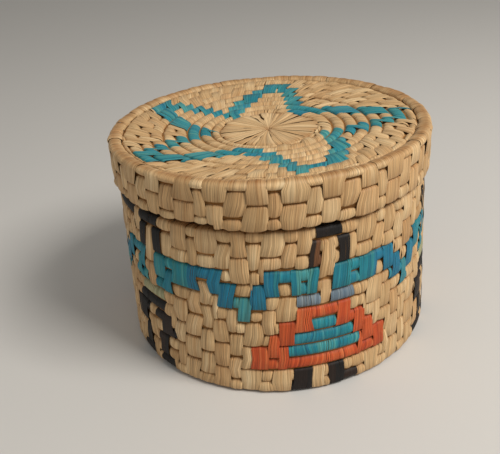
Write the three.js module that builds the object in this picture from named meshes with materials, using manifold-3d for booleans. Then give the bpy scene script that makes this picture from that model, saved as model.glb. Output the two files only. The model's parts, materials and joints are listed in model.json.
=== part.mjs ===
// A round lidded basket, coiled from a palm-leaf bundle and stitched with palm strips, in millimetres.
// It stands on z = 0, its axis is Z, and the side with the orange tent faces -Y.
//
// The basket and its lid are each one long coil. A turn of the coil lies level and climbs to the next
// row inside one short stretch at the back, the step-up. A long stitch bridges the valley to the row
// before it at every second column, and since a turn holds an odd number of columns, the stitches stand
// like bricks in a wall. Dyed strips take the place of plain ones where the pattern runs, so each dyed
// figure is an inlay as deep as its strips.

import * as THREE from 'three';
import { mergeVertices } from 'three/addons/utils/BufferGeometryUtils.js';
import Module from 'manifold-3d';

const wasm = await Module();
wasm.setup();

// The coil and its stitches
const rowPitch = 7; // one coil row, from valley to valley
const coilThickness = 6.2; // through a row, over its stitches
const openValley = 1.25; // how far the wrap sinks between two rows where no stitch bridges them
const bridgedValley = 0.25; // and where a long stitch does
const stitchColumns = 67; // in one turn
const stitchLean = 0.07; // columns that each row lies to the left of the row above it
const stepUpAt = 76; // degrees round from +X
const stepUpWidth = 24; // degrees
const edgeRound = 1.25; // how far an outermost row rounds off towards its edge
const edgeShoulder = 0.4; // of that, what is left where the rounding starts
const edgeReach = 1.5; // how far from its edge the rounding starts

// The basket
const wallRows = 13;
const wallTopRadius = 82.7; // over the stitches of the top row
const wallFlare = 2.7; // how much wider the bottom row is
const neckRows = 2;
const baseThickness = 6;
const baseRows = 8;

// The lid
const lidOverhang = 2.3; // beyond the wall's top row
const skirtRows = 3; // below the corner coil
const skirtPitch = 6.7;
const cornerRise = 4.1; // what the corner coil adds above the skirt's rows
const cornerCoilRadius = 3.4;
const cornerStart = -20; // degrees, where the corner coil's round leaves the skirt
const cornerEnd = 125; // and where it meets the disc
const discRows = 8;
const discThickness = 5.6;
const discSink = 1.2; // the disc's edge lies this far below the corner coil's top
const discDish = 4.5; // the disc's middle lies this far below its edge

// The starting rosettes, from which each coil grows
const rosetteRadius = 26;
const rosettePetals = 19;
const petalDepth = 0.7;
const petalRoot = 9; // radius at which the grooves between petals start
const petalRim = 1.3; // outside the radius at which they are deepest

// Fits
const seatGap = 0.3; // between faces that rest on or lie in each other
const neckClearance = 0.9; // round the neck, so that the lid slips on

// The dyed strips
const dyedSink = 0.3; // from a row's crest to the face of the dyed strips
const inlayDepth = 2.2; // from a row's crest to the back of the dyed strips
const edgeMargin = 1.2; // what a dyed strip leaves of the wall's top and bottom edge
const starLine = 7.8; // the star's line, across
const frontTentAt = -72.4; // degrees round from +X
const rightArchAt = -15;
const leftArchAt = -137.6;

// Fineness of the faceted surfaces
const outerSteps = 31;
const discSteps = 23;
const neckSteps = 25;
const plainSteps = 27; // of the even faces inside, and of the dyed strips
const cornerArcs = 4;
const samplesPerRow = 2;

const TURN = 2 * Math.PI;
const fullTurn = 360; // degrees
const columnAngle = TURN / stitchColumns;
const radians = (degrees) => (degrees * Math.PI) / 180;

const wallHeight = wallRows * rowPitch;
const wallOuter = (z) => wallTopRadius + wallFlare * (1 - z / wallHeight);
const lidRadius = wallTopRadius + lidOverhang;
const lidBottom = wallHeight + seatGap;
const skirtTop = lidBottom + skirtRows * skirtPitch;
const lidTop = skirtTop + cornerRise;
const lidInnerRadius = lidRadius - coilThickness;
const neckRadius = lidInnerRadius - neckClearance;
const discRadius = lidInnerRadius - neckClearance;
const discEdgeZ = lidTop - discSink;
const petalTip = rosetteRadius - petalRim;
const insideFlats = Math.cos(Math.PI / plainSteps); // how near the axis an even inside's flats come
const baseRadius = (wallOuter(0) - coilThickness) * insideFlats - seatGap;

// The neck's first row nestles against the rounded inner edge of the wall's top row
const edgeSlope = edgeRound / edgeReach;
const neckOverlap = neckRadius - edgeRound - (wallTopRadius - coilThickness) * insideFlats;
const nestled = (neckOverlap + seatGap * Math.hypot(1, edgeSlope)) / edgeSlope - edgeReach;
const neckBottom = wallHeight + THREE.MathUtils.clamp(nestled, -edgeReach, seatGap);

const material = (color, roughness) => new THREE.MeshStandardMaterial({ color, roughness, metalness: 0 });
const palm = () => material(0xcdae7c, 0.75);
const turquoise = () => material(0x1f8296, 0.7);
const orange = () => material(0xcc5a33, 0.7);
const black = () => material(0x26221f, 0.65);
const greyBlue = () => material(0x6e7f8c, 0.72);
const paleGreen = () => material(0xa9a57c, 0.75);

// Solids: closed triangle meshes for joining and cutting

function solidFrom(geometry) {
  geometry.deleteAttribute('normal');
  geometry.deleteAttribute('uv');
  const merged = mergeVertices(geometry, 1e-4);
  const index = merged.index.array;
  const kept = [];
  for (let i = 0; i < index.length; i += 3) {
    const [a, b, c] = [index[i], index[i + 1], index[i + 2]];
    if (a !== b && b !== c && c !== a) kept.push(a, b, c);
  }
  return new wasm.Manifold(
    new wasm.Mesh({
      numProp: 3,
      vertProperties: new Float32Array(merged.attributes.position.array),
      triVerts: new Uint32Array(kept),
    }),
  );
}

function solidFromPoints(points, triangles) {
  const geometry = new THREE.BufferGeometry();
  geometry.setAttribute('position', new THREE.Float32BufferAttribute(points, 3));
  geometry.setIndex(triangles);
  return solidFrom(geometry);
}

function meshFrom(solid, name, look) {
  const { vertProperties, triVerts } = solid.getMesh();
  const geometry = new THREE.BufferGeometry();
  geometry.setAttribute('position', new THREE.Float32BufferAttribute(vertProperties, 3));
  geometry.setIndex([...triVerts]);
  geometry.computeVertexNormals();
  const mesh = new THREE.Mesh(geometry, look);
  mesh.name = name;
  return mesh;
}

const joined = (solids) => solids.reduce((sum, next) => sum.add(next));
const around = (radius, angle, z) => [radius * Math.cos(angle), radius * Math.sin(angle), z];

function lathe(outline, segments) {
  const profile = outline.map(([radius, z]) => new THREE.Vector2(radius, z));
  const geometry = new THREE.LatheGeometry(profile, segments, Math.PI / segments);
  geometry.rotateX(Math.PI / 2);
  return solidFrom(geometry);
}

// A solid of revolution with a coiled surface in its profile. The profile starts and ends on the axis:
// rings before the coil, the coil's lines, rings after it. A ring is a function of the angle, and the
// coil's surface is point(angle, row, sink), where sink is how deep the valley is there.

const stepUp = (angle) => {
  const start = radians(stepUpAt - stepUpWidth / 2);
  return THREE.MathUtils.smoothstep(angle, start, start + radians(stepUpWidth));
};
const spiral = (angle) => angle / TURN;

function coiledSolid({ steps, rows, pitch, point, before = [], after = [], rise = stepUp }) {
  const points = [];
  const triangles = [];
  const add = ([x, y, z]) => points.push(x, y, z) / 3 - 1;
  const lines = (rows + 1) * samplesPerRow;
  const edgeRows = edgeReach / pitch;
  const columns = [];
  for (let i = 0; i < steps; i++) {
    const angle = (TURN * i) / steps;
    const column = before.map((ring) => add(ring(angle)));
    for (let j = 0; j <= lines; j++) {
      const turn = j / samplesPerRow - 1;
      const row = THREE.MathUtils.clamp(turn + rise(angle), edgeRows, rows - edgeRows);
      const valley = (i + turn) % 2 === 0 ? bridgedValley : openValley;
      const sink = j % samplesPerRow === 0 ? valley : 0;
      const nearEdge = row === edgeRows || row === rows - edgeRows;
      column.push(add(point(angle, row, nearEdge ? edgeShoulder : sink)));
    }
    after.forEach((ring) => column.push(add(ring(angle))));
    columns.push(column);
  }
  const first = before.length;
  const last = first + lines;
  const quad = (a, b, c, d) => triangles.push(a, b, c, b, d, c);
  columns.forEach((here, i) => {
    const next = columns[(i + 1) % steps];
    const skip = i === steps - 1 ? samplesPerRow : 0;
    const coilLine = (j) => THREE.MathUtils.clamp(j, first, last);
    for (let j = 0; j < first; j++) quad(here[j], next[j], here[j + 1], next[j + 1]);
    for (let j = first - skip; j < last; j++) {
      quad(here[coilLine(j)], next[coilLine(j + skip)], here[coilLine(j + 1)], next[coilLine(j + 1 + skip)]);
    }
    for (let j = last; j < here.length - 1; j++) quad(here[j], next[j], here[j + 1], next[j + 1]);
  });
  const bottom = add([0, 0, points[3 * columns[0][0] + 2]]);
  const top = add([0, 0, points[3 * columns[0].at(-1) + 2]]);
  columns.forEach((here, i) => {
    const next = columns[(i + 1) % steps];
    triangles.push(bottom, next[0], here[0]);
    triangles.push(top, here.at(-1), next.at(-1));
  });
  return solidFromPoints(points, triangles);
}

// A coiled wall between two heights, even inside; radius(z) is its outside, over the crests

function coiledWall({ rows, pitch, bottom, radius, steps = outerSteps, crown = null }) {
  const top = bottom + rows * pitch;
  const outside = coiledSolid({
    steps,
    rows,
    pitch,
    before: [(angle) => around(radius(bottom) - edgeRound, angle, bottom)],
    after: crown ?? [(angle) => around(radius(top) - edgeRound, angle, top)],
    point: (angle, row, sink) => {
      const z = bottom + row * pitch;
      return around(radius(z) - sink, angle, z);
    },
  });
  const [low, high] = [bottom - pitch, top + pitch];
  const inner = (z) => radius(z) - coilThickness;
  const topRound = crown ? 0 : edgeRound;
  const inside = [
    [0, low],
    [inner(bottom) + edgeRound, low],
    [inner(bottom) + edgeRound, bottom],
    [inner(bottom + edgeReach), bottom + edgeReach],
    [inner(top - edgeReach), top - edgeReach],
    [inner(top) + topRound, top],
    [inner(top) + topRound, high],
    [0, high],
  ];
  return outside.subtract(lathe(inside, plainSteps));
}

// A coiled disc with a hole in its middle, coiled on one side and even on the other. heightAt(radius)
// is the coiled side, over the crests, and evenAt(radius) the even side under it.

function coiledDisc({ rows, outer, inner, steps, heightAt, evenAt }) {
  const pitch = (outer - inner) / rows;
  const end = evenAt(inner) - rowPitch;
  const coiled = coiledSolid({
    steps,
    rows,
    pitch,
    rise: spiral,
    before: [
      (angle) => around(outer, angle, end),
      (angle) => around(outer, angle, heightAt(outer) - edgeRound),
    ],
    point: (angle, row, sink) => {
      const radius = outer - row * pitch;
      return around(radius, angle, heightAt(radius) - sink);
    },
  });
  const past = outer + pitch;
  const even = [past, (outer + inner) / 2, inner].map((radius) => [radius, evenAt(radius)]);
  const floor = end - rowPitch;
  const below = lathe([[0, floor], [past, floor], ...even, [0, evenAt(inner)]], plainSteps);
  const top = heightAt(outer) + rowPitch;
  const hole = lathe([[0, floor], [inner, floor], [inner, top], [0, top]], discSteps);
  return coiled.subtract(below).subtract(hole);
}

// The knot a coil starts from: radial petals of flat leaf

function rosette({ radius, heightAt, thickness }) {
  const steps = rosettePetals * 2;
  const rings = [petalRoot, petalTip];
  const groove = (angle, r) => (Math.round((angle / TURN) * steps) % 2 ? (petalDepth * r) / petalTip : 0);
  const upper = rings.map((r) => (angle) => around(r, angle, heightAt(r) - groove(angle, r))).reverse();
  const lower = rings.map((r) => (angle) => around(r, angle, heightAt(r) - thickness + groove(angle, r)));
  const rim = (angle) => around(radius, angle, heightAt(radius) - thickness / 2);
  const points = [];
  const triangles = [];
  const add = ([x, y, z]) => points.push(x, y, z) / 3 - 1;
  const profile = [...lower, rim, ...upper];
  const columns = Array.from({ length: steps }, (_, i) => profile.map((ring) => add(ring((TURN * i) / steps))));
  const bottom = add([0, 0, heightAt(0) - thickness]);
  const top = add([0, 0, heightAt(0)]);
  columns.forEach((here, i) => {
    const next = columns[(i + 1) % steps];
    triangles.push(bottom, next[0], here[0]);
    triangles.push(top, here.at(-1), next.at(-1));
    for (let j = 0; j < profile.length - 1; j++) {
      triangles.push(here[j], next[j], here[j + 1]);
      triangles.push(next[j], next[j + 1], here[j + 1]);
    }
  });
  return solidFromPoints(points, triangles);
}

// Figures on the wall. A run is [row, from, to]: a stretch of dyed strips along one row, with the rows
// counted down from the top one, and from and to in stitch columns from the middle of its figure.

const mirrored = (row, from, to) => [[row, -to, -from], [row, from, to]];
const leanOf = (runs) => -stitchLean * (THREE.MathUtils.lerp(runs[0][0], runs.at(-1)[0], 0.5) - 1);

// A block that reaches through the wall between two angles and two heights
function wallBlock(centre, from, to, low, high) {
  const [near, far] = [wallTopRadius - 2 * coilThickness, wallOuter(0) + 2 * coilThickness];
  const width = (to - from) * columnAngle;
  const steps = Math.ceil(width / radians(30));
  const start = radians(centre) + from * columnAngle;
  const points = [];
  const triangles = [];
  for (let i = 0; i <= steps; i++) {
    const angle = start + (width * i) / steps;
    points.push(...around(near, angle, low));
    points.push(...around(far, angle, low));
    points.push(...around(far, angle, high));
    points.push(...around(near, angle, high));
  }
  for (let i = 0; i < steps; i++) {
    for (let k = 0; k < 4; k++) {
      const [a, b] = [4 * i + k, 4 * i + ((k + 1) % 4)];
      triangles.push(a, a + 4, b, a + 4, b + 4, b);
    }
  }
  const end = 4 * steps;
  triangles.push(0, 1, 2, 0, 2, 3, end, end + 2, end + 1, end, end + 3, end + 2);
  return solidFromPoints(points, triangles);
}

// What lies behind the dyed strips of the wall
function wallBehind(depth) {
  const [low, high] = [-rowPitch, wallHeight + rowPitch];
  const side = [[wallOuter(low) - depth, low], [wallOuter(high) - depth, high]];
  return lathe([[0, low], ...side, [0, high]], plainSteps);
}

// The room a figure takes up in the wall, larger all round by grow
function figureRoom(centre, runs, grow) {
  const turn = grow / wallTopRadius / columnAngle;
  const lean = leanOf(runs);
  const spans = runs.map(([row, from, to]) => [row, from + lean - turn, to + lean + turn]);
  const blocks = spans.map(([row, from, to]) => {
    const low = Math.max(wallHeight - row * rowPitch - grow, edgeMargin - grow);
    const high = Math.min(wallHeight - (row - 1) * rowPitch + grow, wallHeight - edgeMargin + grow);
    return wallBlock(centre, from, to, low, high);
  });
  if (grow > 0) return joined(blocks);
  spans.forEach(([row, from, to]) => {
    spans
      .filter(([other, start, end]) => other === row + 1 && Math.min(to, end) > Math.max(from, start))
      .forEach(([, start, end]) => {
        const valley = wallHeight - row * rowPitch;
        const bridge = [Math.max(from, start), Math.min(to, end)];
        blocks.push(wallBlock(centre, ...bridge, valley - seatGap, valley + seatGap));
      });
  });
  return joined(blocks);
}

// Six motifs stand round the wall, tents and arches in turn. Three face the front; the others share out
// what the arches leave of the turn.
const behind = (share) => THREE.MathUtils.lerp(rightArchAt, leftArchAt + fullTurn, share);
const motifs = [
  { kind: 'tent', at: frontTentAt },
  { kind: 'arch', at: rightArchAt },
  { kind: 'tent', at: behind(0.25) },
  { kind: 'arch', at: behind(0.5) },
  { kind: 'tent', at: behind(0.75) },
  { kind: 'arch', at: leftArchAt + fullTurn },
];
const dipAside = 0.95; // columns that a band's dip lies beyond the middle between its two motifs

const capRuns = [[1, -0.95, 0.95], ...mirrored(2, 0.5, 1.25), ...mirrored(3, 0.5, 1.25)];
const tentFrameRuns = [
  [7, -1.85, 1.85],
  ...mirrored(8, 0.75, 2.65),
  ...mirrored(9, 1.9, 3.3),
  ...mirrored(10, 2.4, 4.15),
  [11, -4.15, 4.15],
];
const tentStripeRuns = [[8, -0.75, 0.75], [9, -1.9, 1.9], [10, -2.4, 2.4]];
const tentBarRuns = [[6, 0.45, 1.9]];
const tentFootRuns = [[12, 0.45, 1.65], [13, 0.45, 2.15]];
const archRuns = [
  [8, -1.45, 1.45],
  ...mirrored(9, 0.4, 2),
  ...mirrored(10, 0.9, 2.3),
  ...mirrored(11, 0.5, 1.35),
  ...mirrored(12, 0.5, 1.3),
  ...mirrored(13, 0.5, 2),
];
const archBarRuns = [[7, -1.3, 1.3]];
const flipped = (runs) => runs.map(([row, from, to]) => [row, -to, -from]);

// A band runs from one motif's middle strip to the next one's and dips by steps in between
function bandRuns(span, dip, startsAtArch) {
  const reach = [2.9, 2.25, 1.35, 0.45]; // from the dip's middle: to the notch, and to each step down
  const start = 0.5;
  const end = span - start;
  const barEnd = 2;
  const underArch = startsAtArch ? [6, start, barEnd] : [6, span - barEnd, end];
  return [
    [4, start, dip - reach[2]],
    [4, dip + reach[2], end],
    [5, start, dip - reach[0]],
    [5, dip - reach[1], dip - reach[3]],
    [5, dip + reach[3], dip + reach[1]],
    [5, dip + reach[0], end],
    [6, dip - reach[2], dip + reach[2]],
    [7, dip - reach[3], dip + reach[3]],
    underArch,
  ];
}

const figures = [];
motifs.forEach(({ kind, at }, i) => {
  const next = motifs[(i + 1) % motifs.length];
  const id = i + 1;
  const add = (name, look, runs) => figures.push({ name, look, runs, centre: at });
  add(`cap_${id}`, black, capRuns);
  if (kind === 'tent') {
    add(`tent_${id}_frame`, orange, tentFrameRuns);
    add(`tent_${id}_stripes`, turquoise, tentStripeRuns);
    add(`tent_${id}_bar_right`, greyBlue, tentBarRuns);
    add(`tent_${id}_bar_left`, greyBlue, flipped(tentBarRuns));
    add(`tent_${id}_foot_right`, black, tentFootRuns);
    add(`tent_${id}_foot_left`, black, flipped(tentFootRuns));
  } else {
    add(`arch_${id}`, black, archRuns);
    add(`arch_${id}_bar`, paleGreen, archBarRuns);
  }
  const span = (((next.at - at + fullTurn) % fullTurn) * stitchColumns) / fullTurn;
  add(`band_${id}`, turquoise, bandRuns(span, span / 2 + dipAside, kind === 'arch'));
});

// The basket

const wallBlank = coiledWall({ rows: wallRows, pitch: rowPitch, bottom: 0, radius: wallOuter });
const neckCoil = coiledWall({
  rows: neckRows,
  pitch: rowPitch,
  bottom: neckBottom,
  radius: () => neckRadius,
  steps: neckSteps,
});
const dyedSkin = wallBehind(dyedSink).subtract(wallBehind(inlayDepth));
const pockets = joined(figures.map(({ centre, runs }) => figureRoom(centre, runs, seatGap / 2)));
const wallCoil = wallBlank.subtract(pockets.subtract(wallBehind(inlayDepth + seatGap)));
const inlays = figures.map(({ name, look, runs, centre }) =>
  meshFrom(dyedSkin.intersect(figureRoom(centre, runs, -seatGap / 2)), name, look()),
);

// The base's coil shows below; it is made upside down and turned over
const baseCoil = coiledDisc({
  rows: baseRows,
  outer: baseRadius,
  inner: rosetteRadius + seatGap,
  steps: discSteps,
  heightAt: () => 0,
  evenAt: () => -baseThickness,
}).rotate([180, 0, 0]);
const baseRosette = rosette({
  radius: rosetteRadius,
  heightAt: () => baseThickness,
  thickness: baseThickness,
});

// The lid

// The corner coil's round crosses over from the lid's side to its top
const cornerCoil = Array.from({ length: cornerArcs + 1 }, (_, i) => (angle) => {
  const turn = radians(THREE.MathUtils.lerp(cornerStart, cornerEnd, i / cornerArcs));
  const radius = lidRadius - cornerCoilRadius + cornerCoilRadius * Math.cos(turn);
  return around(radius, angle, lidTop - cornerCoilRadius + cornerCoilRadius * Math.sin(turn));
});
const lidSide = coiledWall({
  rows: skirtRows,
  pitch: skirtPitch,
  bottom: lidBottom,
  radius: () => lidRadius,
  crown: cornerCoil,
});

const dished = (radius) => discEdgeZ - discDish * (1 - (radius / discRadius) ** 2);
const discBlank = coiledDisc({
  rows: discRows,
  outer: discRadius,
  inner: rosetteRadius + seatGap,
  steps: discSteps,
  heightAt: dished,
  evenAt: (radius) => dished(radius) - discThickness,
});
const lidRosette = rosette({ radius: rosetteRadius, heightAt: dished, thickness: discThickness });

// The five-armed star on the lid, along the middle of its line, each corner [share of the disc's radius,
// degrees]: every row here is the end of an arm, then the way in to the next inner corner and out again
const starCorners = [
  [0.91, -2], [0.91, 4], [0.55, 31], [0.41, 57],
  [0.8, 77], [0.88, 84], [0.78, 94], [0.59, 108], [0.42, 129], [0.69, 139],
  [0.89, 144], [0.92, 150], [0.64, 167], [0.43, 184], [0.64, 199],
  [0.87, 210], [0.89, 217], [0.75, 225], [0.42, 251], [0.56, 271],
  [0.85, 281], [0.83, 296], [0.63, 314], [0.45, 334], [0.65, 349],
];

// Where two lines of the star meet once both have moved sideways by this much
function starOutline(aside) {
  const corners = starCorners.map(([share, degrees]) => {
    const [x, y] = around(share * discRadius, radians(degrees), 0);
    return new THREE.Vector2(x, y);
  });
  return corners.map((corner, i) => {
    const into = corner.clone().sub(corners.at(i - 1)).normalize();
    const outOf = corners[(i + 1) % corners.length].clone().sub(corner).normalize();
    const turn = into.cross(outOf);
    const along = (aside * (1 - into.dot(outOf))) / turn;
    return corner.clone().add(new THREE.Vector2(into.y, -into.x).multiplyScalar(aside)).addScaledVector(into, along);
  });
}

function starRoom(grow) {
  const halfLine = starLine / 2 + grow;
  const shape = new THREE.Shape(starOutline(halfLine));
  shape.holes.push(new THREE.Path(starOutline(-halfLine)));
  const height = 4 * discThickness;
  const bar = new THREE.ExtrudeGeometry(shape, { depth: height, bevelEnabled: false });
  bar.translate(0, 0, lidTop - height / 2);
  return solidFrom(bar);
}

// The solid under a surface that lies this far below the crests of the lid's top
function lidBelow(depth) {
  const past = discRadius + rowPitch;
  const radii = [past, 0.65 * discRadius, 0.3 * discRadius, 0];
  return lathe([[0, 0], [past, 0], ...radii.map((radius) => [radius, dished(radius) - depth])], plainSteps);
}

const starSkin = lidBelow(dyedSink).subtract(lidBelow(inlayDepth));
const star = starSkin.intersect(starRoom(-seatGap / 2));
const lidTopCoil = discBlank.subtract(starRoom(seatGap / 2).subtract(lidBelow(inlayDepth + seatGap)));

const basket = new THREE.Group();
basket.name = 'lidded_coiled_basket';
basket.add(meshFrom(baseRosette, 'base_rosette', palm()));
basket.add(meshFrom(baseCoil, 'base_coil', palm()));
basket.add(meshFrom(wallCoil, 'wall_coil', palm()));
basket.add(meshFrom(neckCoil, 'neck_coil', palm()));
basket.add(...inlays);
basket.add(meshFrom(lidSide, 'lid_side_coil', palm()));
basket.add(meshFrom(lidTopCoil, 'lid_top_coil', palm()));
basket.add(meshFrom(lidRosette, 'lid_rosette', palm()));
basket.add(meshFrom(star, 'lid_star', turquoise()));

export default basket;
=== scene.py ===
import json
import math

import bpy
import numpy as np
from mathutils import Matrix, Vector
from mathutils.bvhtree import BVHTree


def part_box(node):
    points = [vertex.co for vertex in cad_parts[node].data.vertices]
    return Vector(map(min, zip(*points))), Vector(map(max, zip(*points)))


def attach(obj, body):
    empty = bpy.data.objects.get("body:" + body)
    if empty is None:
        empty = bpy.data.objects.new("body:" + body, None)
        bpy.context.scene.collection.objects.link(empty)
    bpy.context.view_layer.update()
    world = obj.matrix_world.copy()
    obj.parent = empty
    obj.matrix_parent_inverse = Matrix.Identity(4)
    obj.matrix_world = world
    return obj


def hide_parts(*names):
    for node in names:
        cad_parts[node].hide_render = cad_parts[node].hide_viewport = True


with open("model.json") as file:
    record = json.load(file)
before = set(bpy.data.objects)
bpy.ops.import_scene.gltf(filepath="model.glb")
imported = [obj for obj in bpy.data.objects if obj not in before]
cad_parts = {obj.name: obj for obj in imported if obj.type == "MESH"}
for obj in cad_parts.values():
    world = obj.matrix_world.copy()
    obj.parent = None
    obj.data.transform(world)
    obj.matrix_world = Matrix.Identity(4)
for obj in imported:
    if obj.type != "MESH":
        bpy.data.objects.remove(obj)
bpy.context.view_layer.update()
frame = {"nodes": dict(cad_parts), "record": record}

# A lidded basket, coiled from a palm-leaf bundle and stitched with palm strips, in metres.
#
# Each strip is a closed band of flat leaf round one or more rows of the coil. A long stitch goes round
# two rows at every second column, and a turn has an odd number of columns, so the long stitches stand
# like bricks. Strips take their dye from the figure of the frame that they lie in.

random = np.random.default_rng(11)
TURN = 2 * math.pi

# The coil
ROW = 0.007  # one row of the wall, from valley to valley
THICK = 0.0062  # through a row, over its strips
INSET = 0.0016  # how deep the coil's fibre lies under the strips
SEAM = math.radians(90)  # where the turns are counted from
STEP_UP = math.radians(76)  # where each turn of the wall steps up to the next row
STEP_UP_WIDTH = math.radians(24)

# The forms that the coil is laid in
WALL_TOP_RADIUS = 0.0827
WALL_FLARE = 0.0027  # how much wider the wall's foot is
WALL_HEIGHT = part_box("wall_coil")[1].z
NECK_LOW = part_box("neck_coil")[0].z
NECK_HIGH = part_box("neck_coil")[1].z
NECK_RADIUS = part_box("neck_coil")[1].x
BASE_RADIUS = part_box("base_coil")[1].x
BASE_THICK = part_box("base_coil")[1].z
LID_RADIUS = 0.085
LID_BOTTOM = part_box("lid_side_coil")[0].z
LID_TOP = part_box("lid_side_coil")[1].z
SKIRT_ROW = 0.0067  # one row of the lid's side, below its corner
SKIRT_ROWS = 3
SKIRT_TOP = LID_BOTTOM + SKIRT_ROWS * SKIRT_ROW
RIM_STANDING = 0.0012  # how far the lid's rim stands above the edge of its top
DISC_EDGE = LID_TOP - RIM_STANDING
DISC_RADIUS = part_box("lid_top_coil")[1].x
DISC_THICK = 0.0056
DISC_DISH = 0.0045  # how far the lid's middle lies below its edge
ROSETTE_RADIUS = 0.026
SPIRAL_ROWS = 8  # from a rosette to the edge of the lid's top or of the base

# Where the basket meets the floor and the lid
STANDING = 0.0008  # from the floor to the lowest strips, which are uneven
SEAT_GAP = 0.0004  # how far the strips end from where the wall and the lid meet
NECK_EASE = 0.0003  # how much thinner the neck's strips lie, so that uneven ones pass the lid


def wall_radius(z):
    return WALL_TOP_RADIUS + WALL_FLARE * (1 - z / WALL_HEIGHT)


def dish_height(radius):
    """The lid's top, over the strips."""
    return DISC_EDGE - DISC_DISH * (1 - (radius / DISC_RADIUS) ** 2)


def smooth(x):
    x = np.clip(x, 0, 1)
    return x * x * (3 - 2 * x)


# Materials

COARSE_LINES = (1600, 25)  # how often the leaf's tone changes across and along a strip, to the metre
FINE_LINES = (3000, 40)
FINE_DARKER, FINE_PALER = 1.2, 1.8  # how far fine lines go, in streaks
LINES_BETWEEN = (0.3, 0.7)  # the noise at which lines reach their least and most
VEINS = (1700, 20)
VEINS_DULLED = 2.2  # how much veins dull the leaf, in streaks
VEINS_BETWEEN = (0.34, 0.44)
LEAF_SPECULAR = 0.35
LEAF_BUMP = 0.0003
BUMP_STRENGTH = 0.5
MIX_SHARE, MIX_BASE, MIX_COLOUR, MIX_RESULT = 0, 6, 7, 2  # the sockets of a mix node for colours
SHADE_AND_VEIN_TINT = (0.5, 0.34, 0.2, 1)  # the warm dark colour that the leaf is multiplied by: painted shade near the strips' ends, and the veins' darker lines


def linear(red, green, blue):
    """A colour given as it looks on a screen, 0 to 255, as the light it sends back."""
    parts = [c / 255 for c in (red, green, blue)]
    return tuple(c / 12.92 if c <= 0.04045 else ((c + 0.055) / 1.055) ** 2.4 for c in parts) + (1.0,)


def leaf_material(name, dark, middle, pale, other, roughness, streaks=0.19):
    """Flat leaf. A strip's own numbers set its tone from dark to pale, how far it goes to the other
    colour, and how much painted shade darkens it near its ends. Lines run along it, and streaks is
    how far they change its tone."""
    material = bpy.data.materials.new(name)
    material.use_nodes = True
    nodes, links = material.node_tree.nodes, material.node_tree.links

    def feed(node, inputs):
        """Sets the node's inputs to values, or links them to other nodes' outputs."""
        for socket, value in inputs.items():
            if isinstance(value, bpy.types.NodeSocket):
                links.new(value, node.inputs[socket])
            else:
                node.inputs[socket].default_value = value

    def add(kind, inputs, **settings):
        node = nodes.new(kind)
        for setting, value in settings.items():
            setattr(node, setting, value)
        feed(node, inputs)
        return node

    def lines(scale, low, high, between=LINES_BETWEEN):
        """Noise drawn out along the strip, from low to high."""
        stretched = add("ShaderNodeMapping", {"Vector": along, "Scale": (*scale, 1)}).outputs["Vector"]
        noise = add("ShaderNodeTexNoise", {"Vector": stretched, "Scale": 1, "Detail": 1}).outputs["Fac"]
        limits = {"From Min": between[0], "From Max": between[1], "To Min": low, "To Max": high}
        return add("ShaderNodeMapRange", {"Value": noise, **limits}).outputs["Result"]

    def mixed(blend, share, base, colour):
        """The base with a share of a fixed colour."""
        inputs = {MIX_SHARE: share, MIX_BASE: base, MIX_COLOUR: colour}
        return add("ShaderNodeMix", inputs, data_type="RGBA", blend_type=blend).outputs[MIX_RESULT]

    along = add("ShaderNodeUVMap", {}, uv_map="fibre").outputs["UV"]
    strip = add("ShaderNodeAttribute", {}, attribute_name="strip").outputs["Color"]
    numbers = add("ShaderNodeSeparateColor", {"Color": strip}).outputs
    tone = add("ShaderNodeValToRGB", {"Fac": numbers["Red"]})
    tone.color_ramp.elements[0].color = linear(*dark)
    tone.color_ramp.elements[1].color = linear(*pale)
    tone.color_ramp.elements.new(0.5).color = linear(*middle)
    dyed = mixed("MIX", numbers["Green"], tone.outputs["Color"], linear(*other))

    coarse = lines(COARSE_LINES, 1 - streaks, 1 + streaks)
    fine = lines(FINE_LINES, 1 - FINE_DARKER * streaks, 1 + FINE_PALER * streaks)
    shade = add("ShaderNodeMath", {0: coarse, 1: fine}, operation="MULTIPLY").outputs["Value"]
    lined = add("ShaderNodeVectorMath", {0: dyed, "Scale": shade}, operation="SCALE").outputs["Vector"]
    veins = lines(VEINS, VEINS_DULLED * streaks, 0, VEINS_BETWEEN)
    # painted shade near the strips' ends, from a strip's third number, plus the veins' own darker lines; both
    # multiply the leaf by the same warm dark tint
    painted_shade = add("ShaderNodeMath", {0: numbers["Blue"], 1: veins}, operation="ADD", use_clamp=True)
    raised = add("ShaderNodeBump", {"Strength": BUMP_STRENGTH, "Distance": LEAF_BUMP, "Height": shade})
    feed(nodes["Principled BSDF"], {
        "Base Color": mixed("MULTIPLY", painted_shade.outputs["Value"], lined, SHADE_AND_VEIN_TINT),
        "Roughness": roughness,
        "Specular IOR Level": LEAF_SPECULAR,
        "Normal": raised.outputs["Normal"],
    })
    return material


# For each slot: the leaf's dark, middle and pale tones, the other colour that some of it has turned, and
# its roughness; for black also its streaks
LEAVES = {
    "palm": ((165, 130, 86), (197, 164, 119), (222, 197, 155), (182, 136, 87), 0.56),
    "turquoise": ((14, 94, 118), (28, 126, 140), (84, 152, 144), (18, 102, 144), 0.55),
    "orange": ((157, 54, 24), (186, 77, 36), (210, 114, 66), (196, 102, 50), 0.58),
    "black": ((5, 5, 6), (10, 9, 10), (25, 23, 23), (112, 72, 42), 0.6, 0.14),
    "grey_blue": ((84, 104, 122), (110, 127, 140), (146, 154, 154), (136, 136, 128), 0.6),
    "pale_green": ((128, 130, 98), (154, 154, 120), (182, 178, 142), (168, 150, 110), 0.62),
}
materials = {slot: leaf_material(f"{slot}_leaf", *leaf) for slot, leaf in LEAVES.items()}
# The coil's fibre under the strips: straw brown like the fibre's own, made darker and warmer as painted shade
# for the deep crevices where it shows
core_material = leaf_material("coil_fibre_and_crevice_shade", (118, 76, 34), (142, 98, 48), (158, 116, 64), (142, 98, 48), 0.8)


# Meshes

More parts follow.
